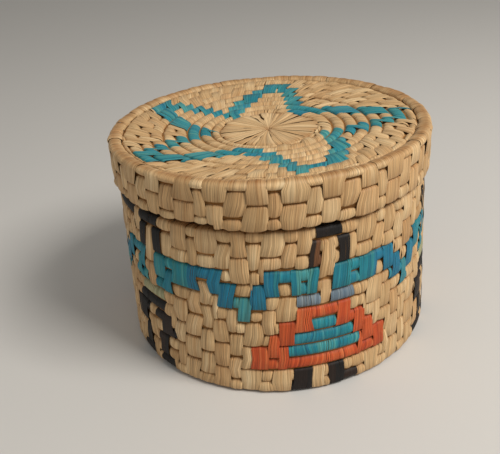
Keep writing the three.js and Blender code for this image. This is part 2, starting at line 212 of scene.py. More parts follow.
def mesh_from(name, spots, faces):
    """A smooth mesh of four-sided faces."""
    mesh = bpy.data.meshes.new(name)
    mesh.vertices.add(len(spots))
    mesh.vertices.foreach_set("co", spots.astype(np.float32).ravel())
    mesh.loops.add(len(faces) * 4)
    mesh.loops.foreach_set("vertex_index", faces.astype(np.int32).ravel())
    mesh.polygons.add(len(faces))
    mesh.polygons.foreach_set("loop_start", np.arange(len(faces), dtype=np.int32) * 4)
    mesh.polygons.foreach_set("use_smooth", np.ones(len(faces), bool))
    mesh.update(calc_edges=True)
    return mesh


def add_maps(mesh, fibre, bake, numbers):
    """The maps along the fibres and for baking, and the strips' numbers."""
    for layer, places in (("fibre", fibre), ("OFBake", bake)):
        mesh.uv_layers.new(name=layer, do_init=False).uv.foreach_set(
            "vector", places.astype(np.float32).ravel()
        )
    mesh.attributes.new("strip", "FLOAT_COLOR", "POINT").data.foreach_set(
        "color", numbers.astype(np.float32).ravel()
    )


def shown(name, mesh, material, body, slot, *nodes):
    """A piece of the basket, which stands in for the CAD nodes."""
    mesh.materials.append(material)
    piece = bpy.data.objects.new(name, mesh)
    bpy.context.scene.collection.objects.link(piece)
    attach(piece, body)
    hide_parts(*nodes)


# Strips

ACROSS = np.array([-0.5, -0.3, 0.3, 0.5])  # places across a strip, in its widths
LEAF_DROP = np.array([0.0001, 0, 0, 0.0001])  # how far the leaf lies there below its middle
STRIP_WIDTH = 1.2  # a strip's width, for the space that it has
NARROW_EXTRA = 0.08  # and what a strip of half the width has more
WIDTH_SCATTER = 0.04
ASIDE_SCATTER = 0.00006  # how unevenly the strips lie beside each other
STAND_SCATTER = 0.00003  # and stand out
AXIS_CLEAR = 0.002  # nearer to the axis a width takes up no more of a turn than it does here
CAP = np.radians([90, 74, 55, 36, 16])  # places round a row's rounding, from the valley to the crest
BACK_CAP = np.radians([62, 28])
WALL_POWER = 3.2  # how squarely the stitches turn in at their ends: 2 is round
WALL_CAP = 0.0027  # how near its ends a stitch starts to turn in
BAR_POWER = 2.1  # the same squareness for dyed and plain bars of one row
CROWN = 0.0002  # how much a stitch that isn't a bar stands out halfway
BULGE = 0.00075  # how far a brick's sides lie below its middle
BULGE_POWER = 2.8  # how suddenly they fall away
BRICK_WIDTH = 2.2  # across a brick whose strips' middles lie from -1 to 1, with what they overlap
BELLY = 0.00012  # how far a long brick's sides swell out at its middle
LONG = 0.0095  # what counts as a long one
PINCH = 0.14  # how far a brick's ends draw in at each side, for how far its sides lie below its middle
PINCH_POWER = 6  # how near its ends it does
# Painted shade: a strip's colour darkens towards its ends, where it turns into a crevice
END_SHADE_POWER = 5  # how near its ends a strip gets its painted shade
END_SHADE_BRICK = 0.65  # and how much
END_SHADE_NARROW = 0.5
BAKE_ROWS = 0.07  # rows of cells on the bake map, for each cell in a row
BAKE_ACROSS = np.array([0.04, 0.28, 0.68, 0.92, 0.98])  # a strip's places, and its back's end, in a cell
BAKE_MARGIN = 0.01
BACK_ACROSS = 0.8  # where the back's fibres end, in widths
FIBRE_REACH = 5  # how far out a strip's own place on the fibres' map may be, in metres
FIBRE_SPREAD = 7  # and how many times as far along


def band_loops(low, high, crest, power, top_power, cap_low, cap_high, crown, front_points):
    """The bands' middle lines round the rows from low to high: (strips, points) of the distance out
    from the rows' middle, and the same of the distance up."""
    half = (high - low) / 2
    cap_low = np.minimum(cap_low, half)
    cap_high = np.minimum(cap_high, half)
    outs, ups = [], []

    def rounding(angles, side, at_top):
        bend = 2 / (top_power if at_top else power)
        for a in angles:
            rise = 1 - math.sin(a) ** bend
            outs.append(side * crest * max(math.cos(a), 0) ** bend + 0 * low)
            ups.append(high - cap_high * rise if at_top else low + cap_low * rise)

    def straight(side, points):
        for share in np.linspace(-1, 1, points + 2)[1:-1]:
            outs.append(side * (crest + crown * (1 - share**2)) + 0 * low)
            ups.append(low + half + side * share * (half - cap_low))

    rounding(CAP, 1, False)
    straight(1, front_points)
    rounding(CAP[::-1], 1, True)
    rounding(BACK_CAP, -1, True)
    straight(-1, 1)
    rounding(BACK_CAP[::-1], -1, False)
    return np.stack(outs, 1), np.stack(ups, 1)


def loop_area(radius, height):
    """The area inside a closed loop, negative when it runs clockwise."""
    return (radius * np.roll(height, -1) - np.roll(radius, -1) * height).sum() / 2


def laid_strips(low, high, angle, pitch, lean, in_brick, brick_share, bar, narrow, to_profile, tones, hue,
                stand, crest, power=WALL_POWER, cap=WALL_CAP, top_power=None, top_cap=None, bulge=BULGE,
                bar_power=BAR_POWER, front_points=1):
    """Strips round rows from low to high, for strip_piece. angle is where each starts from,
    pitch(radius) how far apart they lie, lean(up) how far they turn aside and how many times wider they
    are, in_brick and brick_share their place in a brick and their share of it, to_profile(out, up) gives
    the radius and height, and stand is how far each stands out. Narrow ones lie even."""
    count = len(low)
    power = np.where(bar, bar_power, power)
    cap = np.where(bar, crest, cap)
    outs, ups = band_loops(
        low, high, crest, power, power if top_power is None else top_power,
        cap, cap if top_cap is None else top_cap, np.where(bar, 0, CROWN), front_points,
    )
    radius, upward = to_profile(outs, ups)
    if loop_area(radius[0], upward[0]) < 0:
        ups, radius, upward = (numbers[:, ::-1] for numbers in (ups, radius, upward))
    height = 2 * (ups - low[:, None]) / (high - low)[:, None] - 1
    ends = np.abs(height)
    side = in_brick[:, None]
    brick = ~narrow[:, None]
    halved = 1 + narrow[:, None, None]
    bulge = np.reshape(bulge, (-1, 1))
    belly = BELLY * (1 - 2 * height**2) * (high - low > LONG)[:, None]
    pinch = PINCH * bulge * ends**PINCH_POWER
    shift = random.normal(0, ASIDE_SCATTER, (count, 1)) + side * brick * (belly - pinch)
    aside, wider = lean(ups)
    place = side[:, :, None] + ACROSS * BRICK_WIDTH * brick_share[:, None, None]
    lift = stand[:, None, None] - bulge[:, :, None] * np.abs(place) ** BULGE_POWER * brick[:, :, None]
    lift = lift - LEAF_DROP / halved
    lift = lift + random.normal(0, STAND_SCATTER, (count, 1, 1)) / halved
    width = STRIP_WIDTH + NARROW_EXTRA * narrow[:, None] + random.normal(0, WIDTH_SCATTER, (count, 1))
    return {
        "line": np.stack([radius, upward], 2),
        "angles": angle[:, None] + aside + shift / np.maximum(radius, AXIS_CLEAR),
        "widths": wider * pitch(radius) * width,
        "outs": np.broadcast_to(lift, radius.shape + (4,)),
        "tone": tones,
        "hue": hue,
        # painted shade, darker towards the strip's ends
        "painted_shade": ends**END_SHADE_POWER * np.where(brick, END_SHADE_BRICK, END_SHADE_NARROW),
    }


def strip_piece(name, laid, chosen, body, slot, *nodes):
    """One piece from the chosen strips of those laid. laid has, for each point of each band, its
    radius and height, the angle round the axis, the strip's width, and how far the four places across
    the strip stand out. A flat back closes each band."""
    line, angles, widths, outs = (laid[key][chosen] for key in ("line", "angles", "widths", "outs"))
    count, points = line.shape[:2]
    ahead = np.roll(line, -1, axis=1)
    way = ahead - np.roll(line, 1, axis=1)
    way /= np.maximum(np.linalg.norm(way, axis=2, keepdims=True), 1e-9)
    radius = line[:, :, None, 0] + way[:, :, None, 1] * outs
    height = line[:, :, None, 1] - way[:, :, None, 0] * outs
    turn = angles[:, :, None] + widths[:, :, None] * ACROSS / np.maximum(radius, AXIS_CLEAR)
    spots = np.stack([radius * np.cos(turn), radius * np.sin(turn), height], 3)

    i, k = (a.ravel() for a in np.meshgrid(np.arange(points), np.arange(4), indexing="ij"))
    i2, k2 = (i + 1) % points, (k + 1) % 4
    ring = np.stack([i * 4 + k, i * 4 + k2, i2 * 4 + k2, i2 * 4 + k], 1)
    faces = (ring[None] + (np.arange(count) * points * 4)[:, None, None]).reshape(-1, 4)

    def corners_of(left, right, low, high):
        """The map of each face, from its limits across and along the strip."""
        left, right, low, high = (np.broadcast_to(a, (count, points, 4)) for a in (left, right, low, high))
        pairs = ((left, low), (right, low), (right, high), (left, high))
        return np.stack([np.stack(pair, -1) for pair in pairs], 3)

    step = np.linalg.norm(ahead - line, axis=2)
    along = np.concatenate([np.zeros((count, 1)), np.cumsum(step, axis=1)], 1)
    own = random.uniform(0, FIBRE_REACH, count)[:, None, None]
    across = widths.mean(1)[:, None, None] * np.append(ACROSS, BACK_ACROSS)
    fibre = corners_of(
        across[:, :, :4] + own, across[:, :, 1:] + own,
        along[:, :-1, None] + own * FIBRE_SPREAD, along[:, 1:, None] + own * FIBRE_SPREAD,
    )
    # for baking the strips lie apart, as long narrow cells side by side
    rows = max(1, round(math.sqrt(count * BAKE_ROWS)))
    per_row = math.ceil(count / rows)
    column = (np.arange(count) % per_row)[:, None, None]
    row = (np.arange(count) // per_row)[:, None, None]
    reach = BAKE_MARGIN + (1 - 2 * BAKE_MARGIN) * along / along[:, -1:]
    bake = corners_of(
        (column + BAKE_ACROSS[:4]) / per_row, (column + BAKE_ACROSS[1:]) / per_row,
        (row + reach[:, :-1, None]) / rows, (row + reach[:, 1:, None]) / rows,
    )

    mesh = mesh_from(name, spots.reshape(-1, 3), faces)
    # a strip's numbers: its tone, its share of the other colour, and its painted shade
    numbers = np.ones((count, points, 4, 4))
    for place, key in enumerate(("tone", "hue", "painted_shade")):
        numbers[..., place] = np.clip(laid[key][chosen], 0, 1).reshape(count, -1, 1)
    add_maps(mesh, fibre, bake, numbers)
    ends = np.empty(len(mesh.edges) * 2, np.int32)
    mesh.edges.foreach_get("vertices", ends)
    places = ends.reshape(-1, 2) % 4
    sharp = (places[:, 0] == places[:, 1]) & ((places[:, 0] == 0) | (places[:, 0] == 3))
    mesh.attributes.new("sharp_edge", "BOOLEAN", "EDGE").data.foreach_set("value", sharp)
    shown(name, mesh, materials[slot], body, slot, *nodes)


# Rows of stitches

NO_FIGURE = -1  # the owner of a plain strip
SHORTEST = 0.0018  # a strip that would be shorter is left out
END_SCATTER = 0.0003  # how unevenly the bricks end
BRICK_SCATTER = 0.0003  # and stand out, at the most
USUAL_STAND = 0.6  # how much of the most is usual
WANDER = 0.07  # how far the line between two columns lies aside from row to row, in columns
FARTHEST_WANDER = 0.13
BRICK_TONE, STRIP_TONE, DYED_TONE = 0.09, 0.1, 0.13  # how much bricks, their strips and dyed ones differ
BRICK_HUE = 0.4  # the largest share of its other colour that a brick's leaf takes by chance
HUE_POWER = 3  # how few bricks take much of it
# Waves in the columns: how many for each column, how far, how they shift from row to row, and their start
UNEVEN = ((0.31, 0.10, 0.5, 0), (0.51, 0.07, -0.4, 1), (0.19, 0.06, 0.7, 2))


def brick_joins(owners, column, turns, special):
    """Which strips also go round the turn below: every second column of plain strips, and dyed strips
    wherever they can. special(t, s, bridge, same) may change it; same says that the owner below is
    the same."""
    joined = np.zeros(owners.shape, bool)
    for s in range(owners.shape[1]):
        held = False
        for t in range(owners.shape[0] - 1, 0, -1):
            same = owners[t, s] == owners[t - 1, s]
            natural = owners[t, s] == NO_FIGURE
            bridge = same and not held and (not natural or (turns[t] + column[t, s]) % 2 == 0)
            joined[t, s] = special(t, s, bridge, same)
            held = joined[t, s]
    return joined


def runs_of(joined):
    """Each strip as its lowest turn, its highest turn and its cell in the turn."""
    found = []
    for cell in range(joined.shape[1]):
        high = joined.shape[0] - 1
        while high >= 0:
            low = high
            while low > 0 and joined[low, cell]:
                low -= 1
            found.append((low, high, cell))
            high = low - 1
    return np.array(found).T


def parts_of(line):
    """The stretches of a row over which all of line's numbers stay the same."""
    return np.split(np.arange(line.shape[1]), np.flatnonzero((line[:, 1:] != line[:, :-1]).any(0)) + 1)


def merged_columns(owners, column, per_column):
    """The columns, with what a figure leaves of one joined to the next when it is under half of it."""
    merged = column.copy()
    for t in range(owners.shape[0]):
        parts = parts_of(np.stack([owners[t], column[t]]))
        for number, part in enumerate(parts):
            if len(part) * 2 >= per_column or owners[t, part[0]] != NO_FIGURE:
                continue
            for other in (number - 1, number + 1):
                if 0 <= other < len(parts) and owners[t, parts[other][0]] == NO_FIGURE:
                    merged[t, part] = merged[t, parts[other][0]]
                    break
    return merged


def without_slivers(owners, per_column):
    """The owners, with a wide figure's edge moved out, into a wide plain part, where only one of a
    column's strips is the figure's own."""
    wider = owners.copy()
    for t in range(owners.shape[0]):
        runs = parts_of(owners[t][None])
        for number in range(1, len(runs) - 1):
            run = runs[number]
            if owners[t, run[0]] == NO_FIGURE or len(run) <= per_column:
                continue
            for cell, next_run, beyond, alone in (
                (run[0], runs[number - 1], run[0] - 1, per_column - 1),
                (run[-1], runs[number + 1], run[-1] + 1, 0),
            ):
                plain = owners[t, beyond] == NO_FIGURE and len(next_run) > 2 * per_column
                if cell % per_column == alone and plain:
                    wider[t, beyond] = owners[t, cell]
    return wider


def place_in_brick(column, owners):
    """Each cell's place in its brick, from -1 at the left to 1 at the right, and its share of it."""
    place = np.zeros(column.shape)
    share = np.zeros(column.shape)
    for t in range(column.shape[0]):
        for part in parts_of(np.stack([owners[t], column[t]])):
            place[t, part] = (np.arange(len(part)) + 0.5) / len(part) * 2 - 1
            share[t, part] = 1 / len(part)
    return place, share


def uneven(columns, angle, level):
    """How far the columns wander from even places, in columns."""
    return sum(
        far * np.sin(round(columns * waves) * angle + shift * level + start)
        for waves, far, shift, start in UNEVEN
    )


class Rows:
    """Stitched rows side by side. A turn's place across the rows is edge + (turn + step) * pitch."""

    def __init__(self, columns, per_column, edge, pitch, turns, limits, lean, step=None, phase=0.0):
        """lean is how many columns each row lies aside from the row before it: one number, or a function
        of how far round the turn a strip is, with the rows' middle turn in its even place. phase makes
        the columns wander otherwise than in other rows."""
        self.columns, self.per_column = columns, per_column
        self.edge, self.pitch, self.limits = edge, pitch, limits
        self.turns = np.array(turns)
        self.bricks = (len(self.turns), columns)
        self.cells = np.arange(columns * per_column)
        self.column_angle = TURN / columns
        self.turned = (self.cells + 0.5) / per_column * self.column_angle
        self.step = 0 * self.turned if step is None else step(self.turned)
        self.level = self.turns[:, None] + self.step
        self.lean = lean(self.turned) if callable(lean) else np.full(len(self.cells), lean)
        even_turn = self.turns.mean() if callable(lean) else 0
        self.aside = self.lean * (self.level - even_turn) + uneven(columns, self.turned + phase, self.level)
        self.angle = SEAM + self.turned + self.column_angle * self.aside
        self.middle = edge + (self.level + 0.5) * pitch
        self.owners = np.full(self.level.shape, NO_FIGURE)
        # plain strips that are laid as dyed ones are: narrow, and rounded like bars
        self.plain = np.zeros(self.level.shape, bool)

    def ends(self, low_turn, high_turn, cell, low_shift):
        """From where to where across the rows the strips reach."""
        first, last = self.limits
        low, high = (
            np.clip(self.edge + (turn + self.step[cell]) * self.pitch, first, last)
            for turn in (self.turns[low_turn], self.turns[high_turn] + 1)
        )
        low = np.where(low - first < SHORTEST, first, low)
        high = np.where(last - high < SHORTEST, last, high)
        if low_shift is not None:
            low = low + low_shift(SEAM + self.turned[cell]) * (low_turn == 0)
        return low, high

    def wandering(self):
        """How far aside each cell lies on the lines between the rows, in columns, and how many times
        wider it is there."""
        lines = random.normal(0, WANDER, (len(self.turns) + 1, self.columns + 1))
        lines = lines.clip(-FARTHEST_WANDER, FARTHEST_WANDER)
        lines[:, (0, -1)] = 0
        across = (self.cells + 0.5) / self.per_column
        aside = np.array([np.interp(across, np.arange(self.columns + 1), line) for line in lines])
        return aside, np.repeat(1 + np.diff(lines, axis=1), self.per_column, axis=1)

    def lay(self, special, to_profile, low_shift=None, shape_at=None, **shape):
        """The strips; special(t, s, bridge, same) may change which ones go round two turns, and
        shape_at(angle, at_edge, high_turn) gives what of their shape differs from strip to strip."""
        own_column = np.tile(self.cells // self.per_column, (len(self.turns), 1))
        column = merged_columns(self.owners, own_column, self.per_column)
        low_turn, high_turn, cell = runs_of(brick_joins(self.owners, column, self.turns, special))
        low, high = self.ends(low_turn, high_turn, cell, low_shift)
        # two strips of half the width take the place of each that is to be narrow
        narrow = (self.owners != NO_FIGURE) | self.plain
        chosen = np.flatnonzero(high - low > SHORTEST)
        chosen = np.repeat(chosen, 1 + narrow[high_turn, cell][chosen])
        second = np.append(False, chosen[1:] == chosen[:-1])
        low, high = low[chosen], high[chosen]
        self.low_turn, self.high_turn, self.cell = low_turn[chosen], high_turn[chosen], cell[chosen]
        here, below = (self.high_turn, self.cell), (self.low_turn, self.cell)
        brick, narrow = (self.high_turn, column[here]), narrow[here]
        first, last = self.limits
        loose_low, loose_high = (random.normal(0, END_SCATTER, self.bricks)[brick] for _ in range(2))
        low = low + loose_low * ((low > first) & ~narrow)
        high = high + loose_high * ((high < last) & ~narrow)
        half = narrow * (second - 0.5) / 2
        angle = SEAM + self.turned[self.cell] + half * self.column_angle / self.per_column

        self.owner = self.owners[here]
        self.natural = self.owner == NO_FIGURE
        bar = self.plain[here] | (~self.natural & (self.low_turn == self.high_turn))
        brick_tone = random.normal(0.5, BRICK_TONE, self.bricks)
        brick_hue = random.uniform(0, 1, self.bricks) **HUE_POWER * BRICK_HUE
        tone_scatter = np.where(self.natural, STRIP_TONE, DYED_TONE)
        tones = brick_tone[brick] + random.normal(0, tone_scatter, len(chosen))

        low_aside, high_aside = self.aside[below][:, None], self.aside[here][:, None]
        low_level, high_level = self.level[below][:, None] + 0.5, self.level[here][:, None] + 0.5
        slope = np.where(
            high_level > low_level, (high_aside - low_aside) / np.maximum(high_level - low_level, 1),
            self.lean[self.cell][:, None],
        )
        wander, wide = self.wandering()

        def leaning(up):
            level = (up - self.edge) / self.pitch
            place = np.clip(level - self.step[self.cell][:, None] - self.turns[0], 0, len(self.turns))
            row = np.minimum(place.astype(int), len(self.turns) - 1)
            share = smooth(place - row)
            own = self.cell[:, None]
            aside = wander[row, own] * (1 - share) + wander[row + 1, own] * share
            wider = wide[row, own] * (1 - share) + wide[row + 1, own] * share
            return self.column_angle * (high_aside + slope * (level - high_level) + aside), wider

        spacing = (np.roll(self.angle, -1, 1) - np.roll(self.angle, 1, 1)) % TURN / 2
        spacing = (spacing[here] + spacing[below])[:, None] / 2 / (1 + narrow)[:, None]
        place, share = (numbers[here] for numbers in place_in_brick(column, self.owners))
        stand = np.clip(random.normal(0, USUAL_STAND, self.bricks), -1, 1) * BRICK_SCATTER
        if shape_at is not None:
            shape.update(shape_at(angle, low <= first, self.high_turn))
        return laid_strips(
            low, high, angle, lambda radius: spacing * radius, leaning, place, share, bar, narrow,
            to_profile, tones, brick_hue[brick], stand[brick] * ~narrow, **shape,
        )


# What lies inside the strips

CORE_SIDES = 120  # round the axis
CORE_NUMBERS = (0.5, 0, 0, 1)  # a middle tone, nothing of the other colour, and no painted shade
FIBRE_SIDE = 0.01  # how wide each side of a profile is on the fibres' map


def core(name, profile, body, *nodes):
    """A ring of the coil's fibre, turned from a closed profile of (radius, height), counter-clockwise."""
    profile = np.array(profile)
    count = len(profile)
    angles = np.arange(CORE_SIDES)[:, None] / CORE_SIDES * TURN
    spots = np.stack(
        [profile[:, 0] * np.cos(angles), profile[:, 0] * np.sin(angles), profile[:, 1] + 0 * angles], 2
    )
    s, p = (a.ravel() for a in np.meshgrid(np.arange(CORE_SIDES), np.arange(count), indexing="ij"))
    s2, p2 = (s + 1) % CORE_SIDES, (p + 1) % count
    faces = np.stack([s * count + p, s2 * count + p, s2 * count + p2, s * count + p2], 1)
    mesh = mesh_from(name, spots.reshape(-1, 3), faces)
    places = ((s, p), (s + 1, p), (s + 1, p + 1), (s, p + 1))
    bake = np.stack([np.stack(place, 1) for place in places], 1) / np.array([CORE_SIDES, count])
    fibre = bake[:, :, ::-1] * np.array([count * FIBRE_SIDE, TURN * profile[:, 0].mean()])
    numbers = np.tile(CORE_NUMBERS, (CORE_SIDES * count, 1))
    add_maps(mesh, fibre, bake, numbers)
    shown(name, mesh, core_material, body, "palm", *nodes)


def block(inner, outer, low, high):
    """The profile of a ring with level and upright sides."""
    return [(inner, low), (outer, low), (outer, high), (inner, high)]


# Figures of the frame, found by a ray through the strip's middle

HAIR = math.radians(0.35)  # just over the gap between two figures
figures = [n for n in sorted(frame["nodes"]) if n.split("_")[0] in ("cap", "band", "tent", "arch")]
slots = {row["node"]: row["material_slot"] for row in frame["record"]["subparts"]}


def ray_finder(names):
    """A function that gives the number of the node that a ray meets first, or NO_FIGURE."""
    spots, faces, owner = [], [], []
    for index, name in enumerate(names):
        mesh = frame["nodes"][name].data
        first = len(spots)
        spots += [v.co.copy() for v in mesh.vertices]
        for polygon in mesh.polygons:
            faces.append([first + v for v in polygon.vertices])
            owner.append(index)
    tree = BVHTree.FromPolygons(spots, faces)

    def find(start, way):
        hit = tree.ray_cast(Vector(start), Vector(way))
        return NO_FIGURE if hit[2] is None else owner[hit[2]]

    return find


figure_at = ray_finder(figures)
star_at = ray_finder(["lid_star"])


def figure_on_wall(angle, height):
    return figure_at((0, 0, height), (math.cos(angle), math.sin(angle), 0))


def in_star_line(radius, angle):
    return star_at((radius * math.cos(angle), radius * math.sin(angle), 1), (0, 0, -1)) != NO_FIGURE


def middle_angle(node):
    """The angle round the axis at which a CAD node's middle lies."""
    low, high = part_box(node)
    return math.atan2(low.y + high.y, low.x + high.x)


motif_angles = np.array([middle_angle(name) for name in figures if name.startswith("cap")])


# The wall

WALL_COLUMNS = 67  # stitch columns in one turn of the wall
WALL_STRIPS = 4  # strips in a column
WALL_LEAN = 0.07  # columns that each row lies to the right of the row below it
EDGE_BULGE = BULGE / 3  # the bricks' sides fall away less where they end at an edge
# Rows are counted from the top
BAR_ROWS = {"cap": (1,), "arch": (8,)}  # rows whose strips are short
HOLES = (1.4, 1.9)  # columns from a motif's middle where the band's strips aren't long
HOLE_ROW = 4  # and the row where they aren't
MIDDLE_STRIP = 0.45  # half the plain strip between a motif's legs, in columns
MIDDLE_END = 7  # the row that it ends above
MIDDLE_BRIDGES = (3, 4, 6)  # rows that the middle strip's stitches reach down to
SIDE_BAR = np.radians([360 - 165, 360 - 146.5])  # a short black bar beside the left arch's cap, in row 1
SIDE_BAR_FIGURE = figures.index("cap_6")
# How the dye came out
DIP = 3.2  # columns from a motif's middle where the band starts to dip
DIP_ROW = 6  # the row where it turns from bluer to paler
DIP_HUE = 0.6  # its share of the other colour above that row
DIP_PALER = 0.3  # how much paler it is from there on
BLACK_HUE = 0.3  # how much black leaf takes of the other colour that other leaf would
BROWN_LEG = math.radians(360 - 75.8)  # where one leg's dye has turned brown
BROWN_REACH = 0.04  # how far to either side, in radians
BROWN_ROWS = (2, 3)
BROWN_HUE = 0.9


def climb(turned):
    """How far a turn of the wall has stepped up, by the angle from the seam."""
    start = (STEP_UP - STEP_UP_WIDTH / 2 - SEAM) % TURN
    return smooth((turned - start) / STEP_UP_WIDTH)


def from_motif(angle):
    """How many columns an angle lies from the middle of the nearest motif."""
    away = (angle[..., None] - motif_angles + math.pi) % TURN - math.pi
    return np.abs(away).min(-1) / (TURN / WALL_COLUMNS)


def build_wall():
    count = round(WALL_HEIGHT / ROW)
    rows = Rows(
        WALL_COLUMNS, WALL_STRIPS, 0, ROW, range(-1, count), (STANDING, WALL_HEIGHT - SEAT_GAP), WALL_LEAN,
        step=climb,
    )
    off_motif = from_motif(rows.angle)
    from_top = count - np.round(rows.level).astype(int)
    for t, s in np.argwhere((rows.middle > 0) & (rows.middle < WALL_HEIGHT)):
        a, height = rows.angle[t, s], rows.middle[t, s]
        beside = [figure_on_wall(a + aside, height) for aside in (0, -HAIR, HAIR)]
        in_gap = beside[0] == NO_FIGURE and min(beside[1:]) != NO_FIGURE
        rows.owners[t, s] = beside[1] if in_gap else beside[0]
    turned = rows.angle % TURN
    rows.owners[(from_top == 1) & (turned > SIDE_BAR[0]) & (turned < SIDE_BAR[1])] = SIDE_BAR_FIGURE
    rows.owners = without_slivers(rows.owners, WALL_STRIPS)

    def special(t, s, bridge, same):
        row = from_top[t, s]
        if rows.owners[t, s] == NO_FIGURE:
            in_middle = off_motif[t, s] < MIDDLE_STRIP and row < MIDDLE_END
            return same and row + 1 in MIDDLE_BRIDGES if in_middle else bridge
        name = figures[rows.owners[t, s]]
        short = row in BAR_ROWS.get(name.split("_")[0], ()) or name.endswith("stripes")
        hole = name.startswith("band") and HOLES[0] < off_motif[t, s] < HOLES[1] and row == HOLE_ROW
        return bridge and not short and not hole

    laid = rows.lay(
        special, lambda out, up: (wall_radius(up) - THICK / 2 + out, up),
        shape_at=lambda angle, at_edge, high_turn: {"bulge": np.where(at_edge, EDGE_BULGE, BULGE)},
        crest=THICK / 2,
    )

    def of_figures(test):
        """Which strips lie in a figure whose name passes the test."""
        return np.array([owner != NO_FIGURE and test(figures[owner]) for owner in rows.owner])

    here = (rows.high_turn, rows.cell)
    row = from_top[here]
    dipping = of_figures(lambda name: name.startswith("band")) & (off_motif[here] > DIP)
    laid["hue"] = np.where(dipping & (row < DIP_ROW), DIP_HUE, laid["hue"])
    laid["tone"] = np.where(dipping & (row >= DIP_ROW), laid["tone"] + DIP_PALER, laid["tone"])
    black = of_figures(lambda name: slots[name] == "black")
    laid["hue"] = np.where(black, laid["hue"] * BLACK_HUE, laid["hue"])
    brown = black & np.isin(row, BROWN_ROWS) & (np.abs(rows.angle[here] - BROWN_LEG) < BROWN_REACH)
    laid["hue"] = np.where(brown, BROWN_HUE, laid["hue"])

    upper = rows.natural & (rows.high_turn > len(rows.turns) // 2)
    for name, chosen in (("wall_stitches_upper", upper), ("wall_stitches_lower", rows.natural & ~upper)):
        strip_piece(name, laid, chosen, "basket", "palm", "wall_coil")
    for index, name in enumerate(figures):
        chosen = rows.owner == index
        if chosen.any():
            strip_piece(f"{name}_strips", laid, chosen, "basket", slots[name], name)
    foot, top = wall_radius(0), wall_radius(WALL_HEIGHT)
    core("wall_core", [
        (foot - THICK + INSET, INSET), (foot - INSET, INSET),
        (top - INSET, WALL_HEIGHT - INSET), (top - THICK + INSET, WALL_HEIGHT - INSET),
    ], "basket", "wall_coil")


# The neck

SIDE_COLUMNS = 61  # stitch columns round the neck and the lid's side
SIDE_STRIPS = 4
NECK_ROWS = 2


def as_it_is(t, s, bridge, same):
    return bridge


def build_neck():
    pitch = (NECK_HIGH - NECK_LOW) / NECK_ROWS
    rows = Rows(
        SIDE_COLUMNS, SIDE_STRIPS, NECK_LOW, pitch, range(NECK_ROWS), (NECK_LOW, NECK_HIGH), WALL_LEAN,
        phase=1,
    )
    laid = rows.lay(
        as_it_is, lambda out, up: (NECK_RADIUS - THICK / 2 + out, up),
        crest=THICK / 2 - NECK_EASE,
    )
    strip_piece("neck_stitches", laid, rows.natural, "basket", "palm", "neck_coil")
    inner, outer = NECK_RADIUS - THICK + INSET, NECK_RADIUS - INSET
    core("neck_core", block(inner, outer, NECK_LOW + INSET, NECK_HIGH - INSET), "basket", "neck_coil")


# Flat spirals, each from an edge in to a rosette

# Columns, strips in a column, and the turns that have as many
SPIRAL_ZONES = ((61, 4, range(-1, 3)), (47, 4, range(3, 5)), (37, 4, range(5, 6)), (29, 4, range(6, 8)))
SPIRAL_LEAN = 0.15  # columns that each row lies aside from the one outside it, at the front and back
SIDE_LEAN = 0.45  # and how many more at the left and right
FLAT_INSET = 0.0014  # how deep the fibre lies under the strips
FLAT_BULGE = 0.0004  # how far the bricks' sides lie below their middle
FLAT_CAP = 0.001  # how near their ends the stitches turn in, at the front and back
SIDE_CAP = 0.0018  # and how much earlier at the left and right
FLAT_POWER = 4  # how squarely they do, at the front and back
SIDE_POWER = 2.4  # and at the left and right
SIDE_FALL = 1.5  # how soon the left and right give way to the front and back
FLAT_BAR_POWER = 2.3
FLAT_FADED = 0.01  # how much paler the undyed leaf is than the wall's
FLAT_END_SHADE = 0.5  # how much painted shade the strips get at their ends, for how much they get on the wall
STAR_REACH = 0.0015  # a row's strips are dyed where the star's line comes this near to its middle
STAR_FADED = 0.12  # how much paler the star's dye is


def spiral_lean(turned):
    return SPIRAL_LEAN + SIDE_LEAN * np.abs(np.cos(turned + SEAM))


def spiral_shape(angle, at_edge, high_turn):
    """At the left and right the stitches are round, at the front and back nearly flat."""
    aside = np.abs(np.cos(angle)) ** SIDE_FALL
    return {"cap": FLAT_CAP + SIDE_CAP * aside, "power": FLAT_POWER - (FLAT_POWER - SIDE_POWER) * aside}


def build_spiral(name, radius, thick, to_profile, body, coil_node, star=None):
    """star has two functions: whether its line lies at a radius and angle, and how far out it reaches
    at an angle."""
    pitch = (radius - ROSETTE_RADIUS) / SPIRAL_ROWS
    for number, (columns, per_column, turns) in enumerate(SPIRAL_ZONES):
        rows = Rows(
            columns, per_column, -radius, pitch, turns, (-radius, -ROSETTE_RADIUS), spiral_lean,
            step=lambda turned: turned / TURN, phase=number,
        )
        if star is not None:
            line, reach = star
            for t, s in np.argwhere((rows.middle > -radius) & (rows.middle < -ROSETTE_RADIUS)):
                here, a = -rows.middle[t, s], rows.angle[t, s]
                touched = any(line(here + aside, a) for aside in (-STAR_REACH, 0, STAR_REACH))
                rows.owners[t, s] = 0 if touched else NO_FIGURE
                rows.plain[t, s] = not touched and here < reach(a)

        def special(t, s, bridge, same):
            return bridge and not rows.plain[t, s]

        laid = rows.lay(
            special, to_profile, shape_at=spiral_shape, crest=thick / 2, bar_power=FLAT_BAR_POWER,
            bulge=FLAT_BULGE,
        )
        laid["tone"] = laid["tone"] + np.where(rows.natural, FLAT_FADED, STAR_FADED)
        # less painted shade at the strips' ends on the flat parts
        laid["painted_shade"] = laid["painted_shade"] * FLAT_END_SHADE
        zone = f"{name}_stitches_{number + 1}"
        strip_piece(zone, laid, rows.natural, body, "palm", coil_node)
        if (~rows.natural).any():
            dyed = f"{name}_star_{number + 1}"
            strip_piece(dyed, laid, ~rows.natural, body, "turquoise", "lid_star")


# The rosettes

